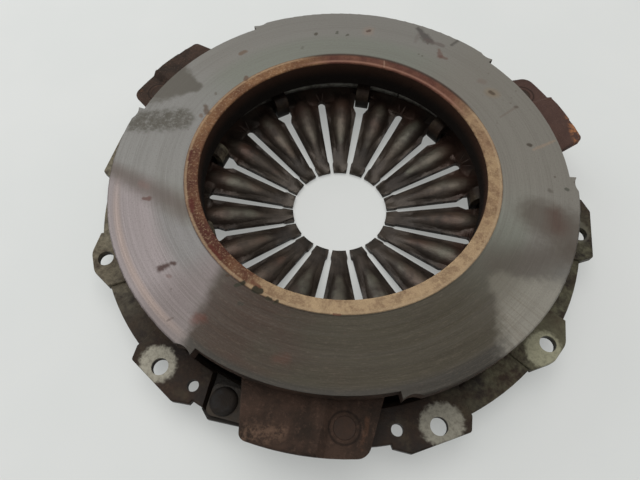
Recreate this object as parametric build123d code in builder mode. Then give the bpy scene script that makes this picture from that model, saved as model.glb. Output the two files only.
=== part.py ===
# Diaphragm-spring clutch cover assembly for a 240 mm clutch, bolted to a pot-type flywheel.
#
# Frame: the origin is the centre of the bolt circle on the flywheel-side face of the cover
# flange, +Z points to the flywheel, and one of the three lugs of the pressure plate lies on -Y.
# The fingers of the spring are the lowest part and the friction face is the highest.

from build123d import *
import os
from math import cos, degrees, radians, sin, tan

os.makedirs("parts", exist_ok=True)

# ---------------------------------------------------------------- driving dimensions (mm, deg)
# layout
lug_count = 3                   # lugs, strap packs and groups of bolt holes
lug_angle = -90                 # direction of the first lug
seat_gap = 0.05                 # play left between pieces that sit on each other
margin = 4.0                    # cutting shapes run this far past the material

# cover pressing
sheet_t = 4.0                   # steel sheet of the cover
rim_r = 136.8                   # plain rim between the ears
rim_drop = 1.5                  # plain rim lies this far below the bolting face
drum_r = 121.0                  # head of the drum wall, inside
drum_foot_r = 117.5             # foot of the drum wall, inside
drum_depth = 8.5                # bolting face to the inside of the back
bend_r = 3.0                    # inside radius at the foot of the drum wall
shoulder_r = 2.0                # inside radius where the wall turns out to the rim
back_bore_r = 84.0              # central opening of the back

# raised shelves beside the lugs, bolting pads and ears
shelf_r = 138.3
shelf_half = 36.0               # half angle of a shelf
shelf_inner_r = 122.5           # at the head of the drum wall
bolt_circle_r = 136.0
bolt_hole_r = 4.2               # clearance for M8
pad_offset = 30.0               # bolt pads stand this far each side of a lug
pad_edge_r = 143.0              # straight outer edge of pads and ears
pad_far_half = 13.4             # pad half length, side away from the lug
pad_near_half = 16.4            # pad half length, side towards the lug
pad_far_flare = 3.4             # slanted ends of a pad
pad_near_flare = 7.5
ear_half = 6.0                  # straight part of an ear, half length
ear_foot_half = 17.0            # foot of an ear, half length
pad_corner_r = 1.5
ear_corner_r = 9.0
pad_wall = 2.0                  # sheet left round the hollow under pads and shelves
edge_round = 0.8                # upper edge of the pads, ears and shelves
locating_offset = 21.8          # small locating holes beside each lug
locating_circle_r = 132.7
locating_hole_r = 2.9

# strap pockets, given across and along the lug axis
pocket_depth = 4.0
pocket_left = -41.8             # sides at the bolting face
pocket_right = 38.0
pocket_rim = 136.0              # straight outer edge
pocket_corner = 4.0             # its cut corners
pocket_draft = 20.0             # slope of the pressed walls
pocket_inner_r = 119.8
pocket_wall = 1.0               # the floor runs this far under the shelves
access_hole_r = 6.2             # riveting access under each lug rivet

# tabs that hold the spring, and the two pivot wires
tab_count = 9
tab_width = 8.3
tab_inner_r = 76.0
tab_bend_r = 3.0
tab_corner_r = 3.0
tab_reach_r = 95.5              # end of the folded-over lip
tab_root = 2.0                  # a tab starts this far inside the back
tab_slit = 2.0                  # relief slit each side of a tab root
tab_slit_depth = 1.6
pivot_r = 90.0
wire_r = 2.2
wire_split = 1.0                # butt gap of the bent wires
wire_split_angle = 75

# diaphragm spring
finger_count = 18
spring_t = 2.7
spring_slope = 13.8
tip_r = 29.5
tip_low_z = -21.0               # underside of the finger tips
spring_rim_r = 117.0
spring_edge_round = 0.7
slot_tip_half = 1.1
slot_neck_r = 34.6
slot_neck = 1.6
slot_mid_half = 1.85
slot_wide_r = 62.0
slot_root_half = 2.4            # the closed end of a slot is a half circle
slot_end_r = 79.0
window_half = 4.9
window_neck_r = 70.5
window_inner_r = 74.5
window_outer_r = 84.5
window_corner_r = 1.2
bulge_start_r = 36.0
bulge_mid_r = 51.0
bulge_peak_r = 69.0
bulge_end_r = 83.5
bulge_height = 3.2
bulge_mid_height = 1.5
bulge_end_fall = -0.55          # slope of the bulge where it meets the ring of the spring
bulge_axis_depth = 6.3          # axis of the rolled finger below its upper face

# pressure plate casting
face_z = 27.0                   # worn friction face
friction_in_r = 85.4            # inner edge of the worn band
wear_depth = 0.2
plate_bore_r = 77.5
plate_edge_round = 0.8
plate_low_z = 11.0
plate_lip_t = 8.0               # thickness of the ring's outer lip
plate_body_r = 118.0            # body under the lip
plate_free_r = 124.4            # edge between the lugs
plate_lug_r = 120.6             # machined edge at the lugs
plate_step_half = 22.2          # half angle of the machined edge
notch_offset = 24.3             # milled scallop beside each step of the edge
notch_r = 8.0
notch_floor_r = 122.8
ridge_r = 113.0                 # fulcrum ridge that bears on the spring
ridge_nose_r = 3.0
ridge_root_half = 5.0
vent_count = 9
vent_width = 11.0

# lugs, given across and along the lug axis
lug_left = -18.4                # sides at the outer edge
lug_right = 36.6
lug_root_left = -25.5           # sides at the root
lug_root_right = 40.3
lug_r = 144.0
lug_root_r = 112.0
lug_corner_r = 3.5
rivet_corner_r = 6.5            # corner at the rivet end
lug_edge_round = 1.2
lug_bevel = 3.0                 # along the lower edges
lug_root_rise = 0.5             # the root runs this far into the lip
lug_root_inset = 0.5            # and stands this far inside its machined edge
lug_top_z = 16.5
lug_low_z = 9.5
rivet_pad_left = 15.3
rivet_pad_drop = 3.2

# drive straps and rivets
leaf_count = 3
leaf_t = 0.8
leaf_width = 15.0
leaf_end = 7.2                  # rivet centre to leaf end
leaf_corner_r = 3.5
leaf_bend_r = 14.0
leaf_flat = 9.0                 # rivet centre to the nearer bend
cover_rivet_offset = -14.5
cover_rivet_r = 131.2
lug_rivet_offset = 11.0
lug_rivet_r = 131.5
shank_r = 3.5
shank_play = 0.05
rivet_head_r = 6.8
rivet_head_h = 2.6
formed_head_r = 5.2
formed_head_h = 2.6
head_round = 1.0                # round of the formed heads
head_land = 0.1                 # straight side left under a domed head
flush_head_r = 4.85
flush_head_h = 1.6
flush_head_play = 0.15

# ---------------------------------------------------------------- worked-out places
lug_step = 360 / lug_count
tab_angle = lug_angle + 180 / tab_count
slope = radians(spring_slope)
spring_length = (spring_rim_r - tip_r) / cos(slope)
rim_z = -rim_drop
back_z = -drum_depth
pocket_z = -pocket_depth
mid_back_z = back_z - sheet_t / 2
rivet_pad_z = lug_top_z - rivet_pad_drop
lip_low_z = face_z - plate_lip_t
rivet_hole_r = shank_r + shank_play
leaf_pitch = leaf_t + seat_gap
pack_h = leaf_count * leaf_pitch
strap_low_z = pocket_z + seat_gap
strap_high_z = lug_low_z - pack_h
vent_length = 2 * (ridge_root_half + ridge_nose_r)
groove_r = wire_r + seat_gap    # groove that seats the rear wire
bead_r = groove_r + sheet_t     # its outside, under the back
bead_width = 2 * bead_r
inside_r = tip_r - margin       # within the finger tips
outside_r = lug_r + margin      # beyond every outline
above_z = face_z + margin       # above every face
below_z = tip_low_z - margin    # below every face


def cone_z(radius, lift=0.0):
    """Height at a radius of the spring's underside, or of a parallel face above it."""
    return tip_low_z + (radius - tip_r) * tan(slope) + lift / cos(slope)


def seat_centre(radius, nose_r, side):
    """Section centre of a round nose that rests on the spring, over it (1) or under it (-1)."""
    face = cone_z(radius, spring_t if side > 0 else 0)
    reach = side * (nose_r + seat_gap)
    return (radius - reach * sin(slope), face + reach * cos(slope))


def polar(radius, angle):
    """Point at a radius and an angle in plan."""
    return Vector(radius * cos(radians(angle)), radius * sin(radians(angle)))


def radial_plane(angle):
    """Upright plane through the axis: its x is the radius and its y is the height."""
    return Plane(origin=(0, 0, 0), x_dir=polar(1, angle), z_dir=polar(1, angle - 90))


def around(step_angle, radius=0.0):
    """The three places at this angle from each lug and this radius."""
    return PolarLocations(radius, lug_count, start_angle=lug_angle + step_angle)


wire_front_centre = seat_centre(pivot_r, wire_r, 1)
wire_rear_centre = seat_centre(pivot_r, wire_r, -1)
tab_lip_z = wire_front_centre[1] + wire_r + seat_gap

# ---------------------------------------------------------------- cover outlines in plan
# Pads and ears are drawn with the radius along X and then turned into their places.
with BuildSketch() as pad_outline:
    with BuildLine():
        Polyline(
            (drum_foot_r, -pad_far_half - pad_far_flare),
            (rim_r, -pad_far_half - pad_far_flare),
            (pad_edge_r, -pad_far_half),
            (pad_edge_r, pad_near_half),
            (shelf_r, pad_near_half + pad_near_flare),
            (drum_foot_r, pad_near_half + pad_near_flare),
            close=True,
        )
    make_face()
    Circle(shelf_inner_r, mode=Mode.SUBTRACT)
    fillet(pad_outline.vertices().group_by(Axis.X)[-1], pad_corner_r)

with BuildSketch() as ear_outline:
    with BuildLine():
        Polyline(
            (drum_foot_r, -ear_foot_half),
            (rim_r, -ear_foot_half),
            (pad_edge_r, -ear_half),
            (pad_edge_r, ear_half),
            (rim_r, ear_foot_half),
            (drum_foot_r, ear_foot_half),
            close=True,
        )
    make_face()
    Circle(shelf_inner_r, mode=Mode.SUBTRACT)
    fillet(ear_outline.vertices().group_by(Axis.X)[-1], ear_corner_r)

with BuildSketch() as shelf_outline:
    with BuildLine():
        outer = CenterArc((0, 0), shelf_r, -shelf_half, 2 * shelf_half)
        inner = CenterArc((0, 0), shelf_inner_r, -shelf_half, 2 * shelf_half)
        Line(outer @ 0, inner @ 0)
        Line(outer @ 1, inner @ 1)
    make_face()

with BuildSketch() as raised_outline:
    with around(0):
        add(shelf_outline.sketch)
    with around(-pad_offset):
        add(pad_outline.sketch)
    with around(pad_offset):
        add(pad_outline.sketch.mirror(Plane.XZ))
    with around(lug_step / 2):
        add(ear_outline.sketch)


def pocket_outline(rim, wall=0.0):
    """Plan of one strap pocket out to a rim, its radius along X, widened by a wall on both sides."""
    width = pocket_right - pocket_left + 2 * wall
    with BuildSketch() as outline:
        with Locations((0, (pocket_left + pocket_right) / 2)):
            Rectangle(rim, width, align=(Align.MIN, Align.CENTER))
        chamfer(outline.vertices().group_by(Axis.X)[-1], pocket_corner)
        Circle(pocket_inner_r, mode=Mode.SUBTRACT)
    return outline.sketch


# ---------------------------------------------------------------- one tab of the cover
# The tab leaves the back, turns up through its window and folds outwards over the front wire.
with BuildPart() as tab:
    with BuildSketch(radial_plane(0)):
        with BuildLine():
            FilletPolyline(
                (back_bore_r + tab_root, back_z),
                (tab_inner_r + sheet_t, back_z),
                (tab_inner_r + sheet_t, tab_lip_z),
                (tab_reach_r, tab_lip_z),
                radius=tab_bend_r,
            )
            offset(amount=sheet_t, side=Side.LEFT, closed=True)
        make_face()
    extrude(amount=tab_width / 2, both=True)
    lip_end = tab.edges().filter_by(Axis.Z).sort_by(Axis.X)[-2:]
    fillet(lip_end, tab_corner_r)

# ---------------------------------------------------------------- shelves, pads and ears
def raised_block(outline):
    """Sheet raised to the bolting face, its upper edges rounded but the one at the drum wall."""
    with BuildPart() as block:
        with BuildSketch(Plane.XY.offset(-sheet_t)):
            add(outline)
        extrude(amount=sheet_t)
        fillet(block.edges().group_by(Axis.Z)[-1].sort_by(SortBy.DISTANCE)[1:], edge_round)
    return block.part


# ---------------------------------------------------------------- cover
with BuildPart() as cover:
    # rim, drum wall and back in one sheet
    with BuildSketch(radial_plane(0)):
        with BuildLine():
            FilletPolyline(
                (back_bore_r, back_z),
                (drum_foot_r, back_z),
                (drum_r, rim_z),
                (rim_r, rim_z),
                radius=[bend_r, shoulder_r + sheet_t],
            )
            offset(amount=sheet_t, side=Side.RIGHT, closed=True)
        make_face()
    revolve(axis=Axis.Z)

    # shelves, pads and ears stand up from the rim and are hollow underneath
    with around(0):
        add(raised_block(shelf_outline.sketch))
    with around(-pad_offset):
        add(raised_block(pad_outline.sketch))
    with around(pad_offset):
        add(raised_block(pad_outline.sketch.mirror(Plane.XZ)))
    with around(lug_step / 2):
        add(raised_block(ear_outline.sketch))
    with BuildSketch(Plane.XY.offset(rim_z - sheet_t)):
        offset(raised_outline.sketch, amount=-pad_wall)
    extrude(amount=rim_drop, mode=Mode.SUBTRACT)

    # strap pockets are pressed one sheet lower, with sloping walls
    with BuildSketch(Plane.XY):
        with around(0):
            add(pocket_outline(outside_r))
    extrude(amount=-pocket_depth, taper=pocket_draft, mode=Mode.SUBTRACT)
    with BuildSketch(Plane.XY.offset(pocket_z)):
        with around(0):
            add(pocket_outline(pocket_rim, pocket_wall))
    extrude(amount=-sheet_t)

    # rolled groove in the back that seats the rear wire
    with BuildSketch(radial_plane(0)):
        with Locations(wire_rear_centre):
            Circle(bead_r)
            with Locations((0, mid_back_z - wire_rear_centre[1])):
                Rectangle(
                    bead_width, bead_width, align=(Align.CENTER, Align.MAX), mode=Mode.INTERSECT
                )
    revolve(axis=Axis.Z)
    with BuildSketch(radial_plane(0)):
        with Locations(wire_rear_centre):
            Circle(groove_r)
    revolve(axis=Axis.Z, mode=Mode.SUBTRACT)

    # tabs, each between two relief slits
    with BuildSketch(Plane.XY.offset(below_z)):
        with PolarLocations(back_bore_r, tab_count, start_angle=tab_angle):
            with Locations((0, (tab_width + tab_slit) / 2), (0, -(tab_width + tab_slit) / 2)):
                SlotOverall(2 * tab_slit_depth + tab_slit, tab_slit)
    extrude(amount=-below_z, mode=Mode.SUBTRACT)
    with PolarLocations(0, tab_count, start_angle=tab_angle):
        add(tab.part)

    # bolt holes, locating holes, rivet holes and riveting access holes
    with BuildSketch(Plane.XY.offset(below_z)):
        for side in (-1, 1):
            with around(side * pad_offset, bolt_circle_r):
                Circle(bolt_hole_r)
            with around(side * locating_offset, locating_circle_r):
                Circle(locating_hole_r)
        with around(lug_step / 2, bolt_circle_r):
            Circle(bolt_hole_r)
        with around(cover_rivet_offset, cover_rivet_r):
            Circle(rivet_hole_r)
        with around(lug_rivet_offset, lug_rivet_r):
            Circle(access_hole_r)
    extrude(amount=above_z - below_z, mode=Mode.SUBTRACT)
cover.part.label = "cover"
export_step(cover.part, "parts/cover.step")

# ---------------------------------------------------------------- pivot wires
# Two rings of bent wire, one on each face of the spring, with a butt gap.
for name, centre in (("pivot_wire_front", wire_front_centre), ("pivot_wire_rear", wire_rear_centre)):
    split_angle = degrees(wire_split / pivot_r)
    with BuildPart() as wire:
        with BuildSketch(radial_plane(wire_split_angle)):
            with Locations(centre):
                Circle(wire_r)
        revolve(axis=Axis.Z, revolution_arc=360 - split_angle)
    wire.part.label = name
    export_step(wire.part, f"parts/{name}.step")

# ---------------------------------------------------------------- diaphragm spring
# Profiles are drawn on a plane tilted along the cone: x runs up a finger, y is its thickness.
finger_plane = Plane(
    origin=(tip_r, 0, tip_low_z), x_dir=(cos(slope), 0, sin(slope)), z_dir=(0, -1, 0)
)
roll_axis = Axis(
    finger_plane.from_local_coords((0, spring_t - bulge_axis_depth, 0)), finger_plane.x_dir
)


def along(radius):
    """Distance up a finger from its tip."""
    return (radius - tip_r) / cos(slope)


def rolled_finger(inset):
    """Spindle whose upper side is the bulge of one finger, moved in by an inset."""
    axis_y = spring_t - bulge_axis_depth
    base = spring_t - inset
    with BuildPart() as spindle:
        with BuildSketch(finger_plane):
            with BuildLine():
                crest = Spline(
                    (along(bulge_start_r), base),
                    (along(bulge_mid_r), base + bulge_mid_height),
                    (along(bulge_peak_r), base + bulge_height),
                    (along(bulge_end_r), base),
                    tangents=((1, 0), (1, bulge_end_fall)),
                )
                Polyline(
                    crest @ 0,
                    (along(bulge_start_r), axis_y),
                    (along(bulge_end_r), axis_y),
                    crest @ 1,
                )
            make_face()
        revolve(axis=roll_axis)
        split(bisect_by=Plane(origin=finger_plane.origin, z_dir=finger_plane.y_dir), keep=Keep.TOP)
    return spindle.part


with BuildSketch() as slot_outline:
    with BuildLine():
        closed_end = CenterArc((slot_end_r - slot_root_half, 0), slot_root_half, 0, 90)
        Polyline(
            closed_end @ 1,
            (slot_wide_r, slot_root_half),
            (slot_neck_r + slot_neck, slot_mid_half),
            (slot_neck_r, slot_tip_half),
            (inside_r, slot_tip_half),
            (inside_r, 0),
            closed_end @ 0,
        )
    make_face()
    mirror(about=Plane.XZ)

with BuildSketch() as window_outline:
    with BuildLine():
        Polyline(
            (window_neck_r, slot_root_half),
            (window_inner_r, window_half),
            (window_outer_r, window_half),
            (window_outer_r, -window_half),
            (window_inner_r, -window_half),
            (window_neck_r, -slot_root_half),
            close=True,
        )
    make_face()
    fillet(window_outline.vertices().group_by(Axis.X)[-1], window_corner_r)

with BuildPart() as diaphragm_spring:
    with BuildSketch(finger_plane) as cone_section:
        Rectangle(spring_length, spring_t, align=(Align.MIN, Align.MIN))
        fillet(cone_section.vertices().sort_by(Axis.X)[-2:], spring_edge_round)
    revolve(axis=Axis.Z)
    with PolarLocations(0, finger_count, start_angle=lug_angle + 180 / finger_count):
        add(rolled_finger(0))
    with PolarLocations(0, finger_count, start_angle=lug_angle + 180 / finger_count):
        add(rolled_finger(spring_t), mode=Mode.SUBTRACT)
    with BuildSketch(Plane.XY.offset(below_z)):
        with PolarLocations(0, finger_count, start_angle=lug_angle):
            add(slot_outline.sketch)
        with PolarLocations(0, tab_count, start_angle=tab_angle):
            add(window_outline.sketch)
    extrude(amount=above_z - below_z, mode=Mode.SUBTRACT)
diaphragm_spring.part.label = "diaphragm_spring"
export_step(diaphragm_spring.part, "parts/diaphragm_spring.step")


# ---------------------------------------------------------------- one lug of the pressure plate
# A cast arm drawn on -Y, with a thinner end that carries the strap rivet.
lug_rivet_place = polar(lug_rivet_r, lug_rivet_offset - 90)

with BuildSketch() as lug_outline:
    with BuildLine():
        Polyline(
            (lug_root_left, -lug_root_r),
            (lug_left, -lug_r),
            (lug_right, -lug_r),
            (lug_root_right, -lug_root_r),
            close=True,
        )
    make_face()
    Circle(lug_r, mode=Mode.INTERSECT)

with BuildPart() as lug:
    with BuildSketch(Plane.XY.offset(lug_low_z)) as lug_plan:
        add(lug_outline.sketch)
        fillet(lug_plan.vertices().sort_by(Axis.X)[-2], rivet_corner_r)
        fillet(lug_plan.vertices().sort_by(Axis.X)[1], lug_corner_r)
    extrude(amount=lug_top_z - lug_low_z)
    chamfer(lug.edges().group_by(Axis.Z)[0].sort_by(Axis.Y)[:-1], lug_bevel)
    with BuildSketch(Plane.XZ.offset(lug_root_r)):
        with BuildLine():
            Polyline(
                (rivet_pad_left, lug_top_z),
                (rivet_pad_left + rivet_pad_drop, rivet_pad_z),
                (lug_root_right, rivet_pad_z),
                (lug_root_right, lug_top_z),
                close=True,
            )
        make_face()
    extrude(amount=outside_r - lug_root_r, mode=Mode.SUBTRACT)
    fillet(lug.faces().sort_by(Axis.Z)[-1].edges().sort_by(Axis.Y)[:-1], lug_edge_round)
    # root that carries the arm up to the lip of the friction ring
    with BuildSketch(Plane.XY.offset(lug_low_z)):
        add(lug_outline.sketch)
        Circle(plate_lug_r - lug_root_inset, mode=Mode.INTERSECT)
    extrude(amount=lip_low_z + lug_root_rise - lug_low_z)
    with Locations(Plane.XY.offset(rivet_pad_z)):
        with Locations((lug_rivet_place.X, lug_rivet_place.Y)):
            CounterBoreHole(rivet_hole_r, flush_head_r + flush_head_play, flush_head_h)

# ---------------------------------------------------------------- pressure plate
ridge_centre = seat_centre(ridge_r, ridge_nose_r, 1)

# Sector outside the machined edge, its radius along X. It is placed at each lug with add(),
# because a face closed from drawn lines does not follow a pattern.
with BuildSketch() as edge_sector:
    with BuildLine():
        wide = CenterArc((0, 0), outside_r, -plate_step_half, 2 * plate_step_half)
        near = CenterArc((0, 0), plate_lug_r, -plate_step_half, 2 * plate_step_half)
        Line(wide @ 0, near @ 0)
        Line(wide @ 1, near @ 1)
    make_face()

with BuildPart() as pressure_plate:
    # friction ring, with the unworn band at its bore standing slightly proud
    with BuildSketch(radial_plane(0)) as ring_section:
        with BuildLine():
            Polyline(
                (plate_bore_r, plate_low_z),
                (plate_bore_r, face_z + wear_depth),
                (friction_in_r, face_z + wear_depth),
                (friction_in_r, face_z),
                (plate_free_r, face_z),
                (plate_free_r, lip_low_z),
                (plate_body_r, lip_low_z),
                (plate_body_r, plate_low_z),
                close=True,
            )
        make_face()
        bore_top = ring_section.vertices().group_by(Axis.Y)[-1].sort_by(Axis.X)[0]
        rim_top = ring_section.vertices().group_by(Axis.X)[-1].sort_by(Axis.Y)[-1]
        fillet([bore_top, rim_top], plate_edge_round)
    revolve(axis=Axis.Z)

    # the edge is machined smaller at the lugs, with a scallop beside each step
    with BuildSketch(Plane.XY.offset(plate_low_z)):
        with around(0):
            add(edge_sector.sketch)
        for side in (-1, 1):
            with around(side * notch_offset, notch_floor_r + notch_r):
                Circle(notch_r)
    extrude(amount=above_z - plate_low_z, mode=Mode.SUBTRACT)

    # fulcrum ridge under the ring, cut by vents
    with BuildSketch(radial_plane(0)):
        with BuildLine():
            Polyline(
                (ridge_r - ridge_root_half, plate_low_z),
                (ridge_centre[0] - ridge_nose_r, ridge_centre[1]),
                (ridge_centre[0] + ridge_nose_r, ridge_centre[1]),
                (ridge_r + ridge_root_half, plate_low_z),
                close=True,
            )
        make_face()
        with Locations(ridge_centre):
            Circle(ridge_nose_r)
    revolve(axis=Axis.Z)
    with BuildSketch(Plane.XY.offset(plate_low_z)):
        with PolarLocations(ridge_r, vent_count, start_angle=tab_angle):
            Rectangle(vent_length, vent_width)
    extrude(amount=below_z - plate_low_z, mode=Mode.SUBTRACT)

    with PolarLocations(0, lug_count):
        add(lug.part)
pressure_plate.part.label = "pressure_plate"
export_step(pressure_plate.part, "parts/pressure_plate.step")


# ---------------------------------------------------------------- drive straps
def strap_ends(index):
    """Plan places of the cover rivet and the lug rivet of one strap."""
    angle = lug_angle + index * lug_step
    return (
        polar(cover_rivet_r, angle + cover_rivet_offset),
        polar(lug_rivet_r, angle + lug_rivet_offset),
    )


def drive_strap_leaf(index, level):
    """One leaf: flat on the pocket, bent up to the underside of the lug."""
    start, end = strap_ends(index)
    run = end - start
    lift = level * leaf_pitch
    side_plane = Plane(
        origin=start + Vector(0, 0, strap_low_z + lift), x_dir=run, z_dir=run.cross(Vector(0, 0, 1))
    )
    rise = strap_high_z - strap_low_z
    with BuildPart() as leaf:
        with BuildSketch(side_plane):
            with BuildLine():
                FilletPolyline(
                    (-leaf_end, 0),
                    (leaf_flat, 0),
                    (run.length - leaf_flat, rise),
                    (run.length + leaf_end, rise),
                    radius=leaf_bend_r,
                )
                offset(amount=leaf_t, side=Side.LEFT, closed=True)
            make_face()
        extrude(amount=leaf_width / 2, both=True)
        fillet(leaf.edges().filter_by(Axis.Z), leaf_corner_r)
        with BuildSketch(Plane.XY.offset(below_z)):
            with Locations(start, end):
                Circle(rivet_hole_r)
        extrude(amount=above_z - below_z, mode=Mode.SUBTRACT)
    return leaf.part


for index in range(lug_count):
    for level in range(leaf_count):
        leaf_part = drive_strap_leaf(index, level)
        leaf_part.label = f"drive_strap_{index + 1}_leaf_{level + 1}"
        export_step(leaf_part, f"parts/{leaf_part.label}.step")

# ---------------------------------------------------------------- rivets
# Each is drawn upright at the centre and moved to its place in the strap.
cover_head_z = strap_low_z + pack_h
cover_formed_z = pocket_z - sheet_t - seat_gap
lug_formed_z = strap_high_z - seat_gap
flush_seat_z = rivet_pad_z - flush_head_h + seat_gap

with BuildPart() as cover_rivet:
    with BuildSketch(Plane.XY.offset(cover_formed_z)):
        Circle(shank_r)
    extrude(amount=cover_head_z - cover_formed_z)
    with BuildSketch(Plane.XY.offset(cover_formed_z)):
        Circle(formed_head_r)
    extrude(amount=-formed_head_h)
    fillet(cover_rivet.edges().group_by(Axis.Z)[0], head_round)
    with BuildSketch(Plane.XY.offset(cover_head_z)):
        Circle(rivet_head_r)
    extrude(amount=rivet_head_h)
    fillet(cover_rivet.edges().group_by(Axis.Z)[-1], rivet_head_h - head_land)

with BuildPart() as lug_rivet:
    with BuildSketch(Plane.XY.offset(lug_formed_z)):
        Circle(shank_r)
    extrude(amount=flush_seat_z - lug_formed_z)
    with BuildSketch(Plane.XY.offset(lug_formed_z)):
        Circle(formed_head_r)
    extrude(amount=-formed_head_h)
    fillet(lug_rivet.edges().group_by(Axis.Z)[0], head_round)
    with BuildSketch(Plane.XY.offset(flush_seat_z)):
        Circle(flush_head_r)
    extrude(amount=flush_head_h - seat_gap)

for index in range(lug_count):
    for name, pattern, place in zip(
        ("cover_rivet", "lug_rivet"), (cover_rivet.part, lug_rivet.part), strap_ends(index)
    ):
        rivet = Pos(place.X, place.Y, 0) * pattern
        rivet.label = f"{name}_{index + 1}"
        export_step(rivet, f"parts/{rivet.label}.step")
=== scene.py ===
# %% [markdown]
# # A used clutch cover assembly
# This is the part that presses the clutch disc against the flywheel: a pressed steel cover, a
# cast iron pressure plate with a machined ring, a dished spring with eighteen fingers, and the
# straps and rivets that join them. The solids come ready made at their real size. What is left is
# what years of service did to them: wear, heat, oil and rust, each where it belongs. Some light is
# painted in as well: reflection and highlight on the turned face, highlight on the fingers, and
# shade in recesses.

import bpy
from math import cos, pi, radians, sin
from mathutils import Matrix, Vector


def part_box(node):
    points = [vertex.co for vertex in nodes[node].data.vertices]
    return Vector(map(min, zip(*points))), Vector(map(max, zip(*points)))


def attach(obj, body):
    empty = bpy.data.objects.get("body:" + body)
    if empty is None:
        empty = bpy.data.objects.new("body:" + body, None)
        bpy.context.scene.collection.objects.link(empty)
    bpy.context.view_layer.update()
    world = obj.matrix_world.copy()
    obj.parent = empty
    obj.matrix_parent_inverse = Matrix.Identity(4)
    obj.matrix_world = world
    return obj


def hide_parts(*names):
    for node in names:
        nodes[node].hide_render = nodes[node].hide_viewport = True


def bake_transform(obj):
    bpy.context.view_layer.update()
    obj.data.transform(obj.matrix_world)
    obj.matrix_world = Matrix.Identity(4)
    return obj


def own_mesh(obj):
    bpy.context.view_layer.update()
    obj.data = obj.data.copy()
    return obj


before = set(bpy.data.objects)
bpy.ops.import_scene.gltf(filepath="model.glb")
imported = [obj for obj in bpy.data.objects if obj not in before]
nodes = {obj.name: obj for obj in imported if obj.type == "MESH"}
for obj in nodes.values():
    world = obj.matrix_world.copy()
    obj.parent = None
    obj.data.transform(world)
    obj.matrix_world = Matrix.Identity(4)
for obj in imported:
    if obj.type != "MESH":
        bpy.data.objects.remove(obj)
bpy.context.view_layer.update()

# %% [markdown]
# ## Sizes that the finishes need
# A worn band or a washer print has to sit exactly on its ring or hole. All lengths are in metres,
# with +Z towards the flywheel and the axis of the clutch on Z. Angles are in degrees, counted from
# +X, and the first lug points along -Y.

# %% Named sizes
MM = 0.001
LUG_ANGLE = -90
FACE_Z = 27.0 * MM
BORE_R = 77.5 * MM
BAND_R = 84.9 * MM
FINGERS = 18
FINGER_STEP = 360 / FINGERS
TIP_R = 29.5 * MM


def polar(radius, angle, height=0.0):
    """Point at a radius and an angle round the axis."""
    return Vector((radius * cos(radians(angle)), radius * sin(radians(angle)), height))


def tone(red, green, blue):
    """A colour on the 0 to 255 display scale as the linear values that a shader takes."""
    shares = (channel / 255 for channel in (red, green, blue))
    return tuple(s / 12.92 if s < 0.04 else ((s + 0.055) / 1.055) ** 2.4 for s in shares)


def middle(node):
    """Centre of a node on the plan."""
    low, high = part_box(node)
    return Vector(((low.x + high.x) / 2, (low.y + high.y) / 2, 0))


floor_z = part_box("diaphragm_spring")[0].z
print("floor under the finger tips:", round(floor_z / MM, 2), "mm")

# %% [markdown]
# ## A helper for finishes
# A finish is a small network: where am I on the part, how much wear is there, and which colour and
# roughness follow. The class below keeps the network readable. Every pattern reads Object
# coordinates, so it stays on the metal when the part moves. Angles would leave a seam where they
# jump from 180 to -180, so patterns round the axis read the unit direction instead.

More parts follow.
